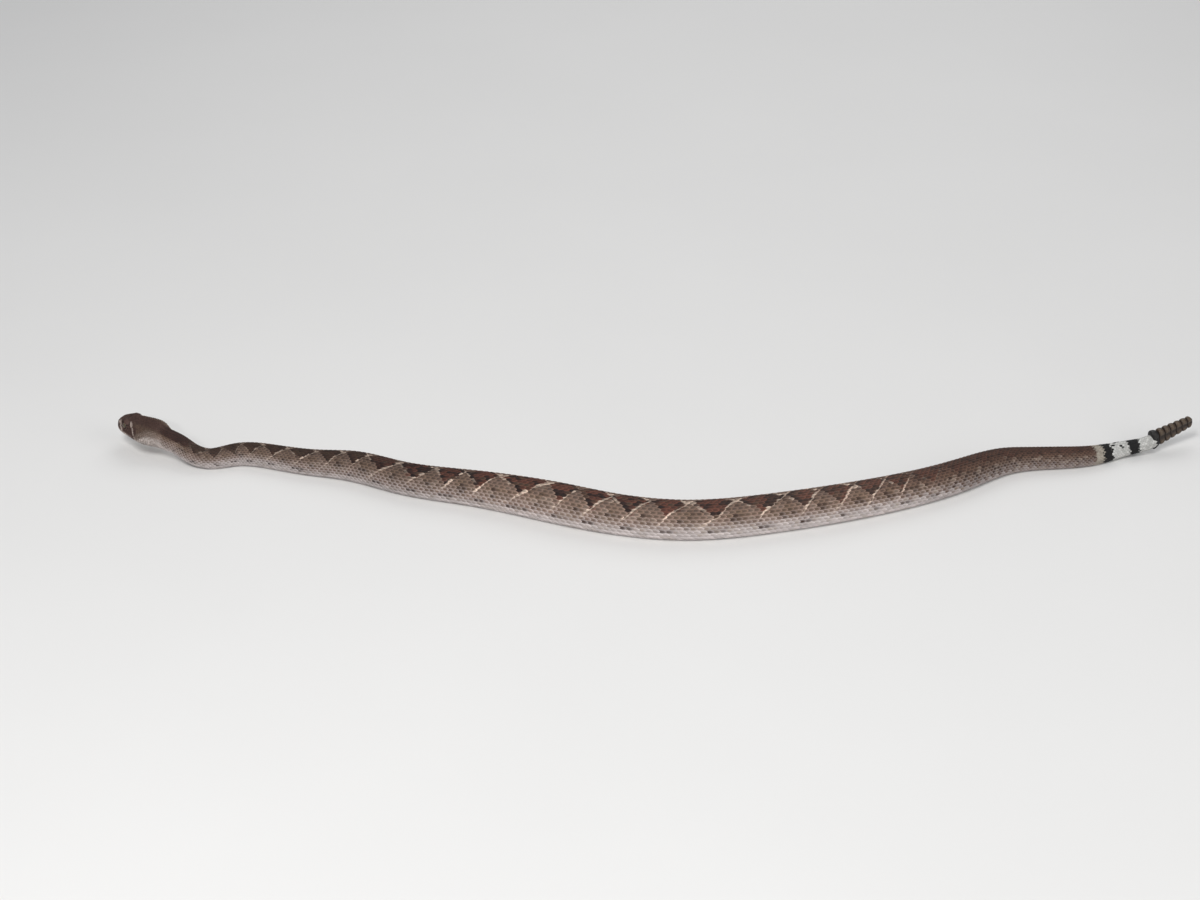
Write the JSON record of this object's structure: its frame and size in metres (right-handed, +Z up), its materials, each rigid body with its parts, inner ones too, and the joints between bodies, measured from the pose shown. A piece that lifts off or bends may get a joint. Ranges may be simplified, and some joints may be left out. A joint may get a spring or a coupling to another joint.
{
  "type": "western diamondback rattlesnake model",
  "caption": "Life-size still model of a crawling western diamondback rattlesnake, with its head and its rattle held just off the floor.",
  "frame": {"origin": "centre of the bounding box in plan, on the floor that the belly lies on", "axes": "+X from the head end to the rattle, +Y away from the snake's left flank, +Z up"},
  "size_m": [1.1196, 0.2034, 0.0362],
  "materials": {
    "head_skin": "small keeled scales, dark brown crown, pale cheek stripes and pale grey lips, dull",
    "body_skin": "rows of keeled scales, dark diamonds edged in cream on a pinkish grey-brown ground, whitish belly, dull",
    "tail_skin": "scales ringed in black and chalky white",
    "eye": "wet gloss, olive-gold iris with an upright slit pupil",
    "rattle_base_horn": "near-black horn with a soft sheen",
    "rattle_horn": "dry tan-brown horn, darker between the segments"
  },
  "bodies": {
    "root": {"head": "head_skin", "lower_jaw": "head_skin", "eye_left": "eye", "eye_right": "eye", "neck": "body_skin", "trunk_1": "body_skin", "trunk_2": "body_skin", "trunk_3": "body_skin", "trunk_4": "body_skin", "trunk_5": "body_skin", "trunk_6": "body_skin", "trunk_7": "body_skin", "tail": "tail_skin", "rattle_1": "rattle_base_horn", "rattle_2": "rattle_horn", "rattle_3": "rattle_horn", "rattle_4": "rattle_horn", "rattle_5": "rattle_horn", "rattle_6": "rattle_horn", "rattle_7": "rattle_horn"}
  },
  "joints": []
}
